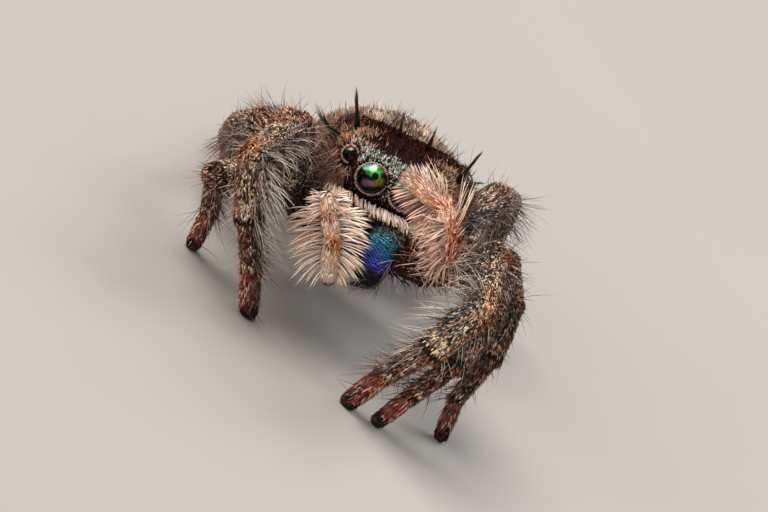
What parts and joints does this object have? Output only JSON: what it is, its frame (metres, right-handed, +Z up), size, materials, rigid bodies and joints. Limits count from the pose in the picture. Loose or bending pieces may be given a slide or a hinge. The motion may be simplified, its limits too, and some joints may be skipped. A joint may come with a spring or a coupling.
{
  "type": "jumping spider",
  "caption": "Life-size still model of a large hairy jumping spider, standing on the floor with one palp raised before its face.",
  "frame": {"origin": "centre of the footprint of the whole animal, on the floor under its feet", "axes": "+Z up, -Y the way the spider faces, +X its left side"},
  "size_m": [0.0076, 0.0136, 0.005],
  "materials": {
    "carapace": "satin dark red-brown cuticle under short tan hair",
    "abdomen": "soft mottled tan and grey-brown hair with paired pale spots",
    "underside": "dull dark brown cuticle",
    "eye": "mirror-smooth black lens",
    "chelicera": "iridescent teal, blue and violet cuticle with fine cross wrinkles",
    "fang": "polished dark red horn",
    "palp": "long cream and pinkish hair over orange-brown cuticle",
    "leg": "mottled gold, cream, grey and black hair over red-brown cuticle"
  },
  "bodies": {
    "root": {"carapace": "carapace", "sternum": "underside", "labium": "underside", "pedicel": "underside", "abdomen": "abdomen", "spinnerets": "underside", "eye_anterior_median_left": "eye", "eye_anterior_lateral_left": "eye", "eye_posterior_median_left": "eye", "eye_posterior_lateral_left": "eye", "chelicera_left": "chelicera", "fang_left": "fang", "endite_left": "underside", "palp_left_femur": "palp", "palp_left_tibia": "palp", "palp_left_tarsus": "palp", "leg_1_left_femur": "leg", "leg_1_left_patella": "leg", "leg_1_left_tibia": "leg", "leg_1_left_tarsus": "leg", "leg_2_left_femur": "leg", "leg_2_left_patella": "leg", "leg_2_left_tibia": "leg", "leg_2_left_tarsus": "leg", "leg_3_left_femur": "leg", "leg_3_left_patella": "leg", "leg_3_left_tibia": "leg", "leg_3_left_tarsus": "leg", "leg_4_left_femur": "leg", "leg_4_left_patella": "leg", "leg_4_left_tibia": "leg", "leg_4_left_tarsus": "leg", "eye_anterior_median_right": "eye", "eye_anterior_lateral_right": "eye", "eye_posterior_median_right": "eye", "eye_posterior_lateral_right": "eye", "chelicera_right": "chelicera", "fang_right": "fang", "endite_right": "underside", "palp_right_femur": "palp", "palp_right_tibia": "palp", "palp_right_tarsus": "palp", "leg_1_right_femur": "leg", "leg_1_right_patella": "leg", "leg_1_right_tibia": "leg", "leg_1_right_tarsus": "leg", "leg_2_right_femur": "leg", "leg_2_right_patella": "leg", "leg_2_right_tibia": "leg", "leg_2_right_tarsus": "leg", "leg_3_right_femur": "leg", "leg_3_right_patella": "leg", "leg_3_right_tibia": "leg", "leg_3_right_tarsus": "leg", "leg_4_right_femur": "leg", "leg_4_right_patella": "leg", "leg_4_right_tibia": "leg", "leg_4_right_tarsus": "leg"}
  },
  "joints": []
}
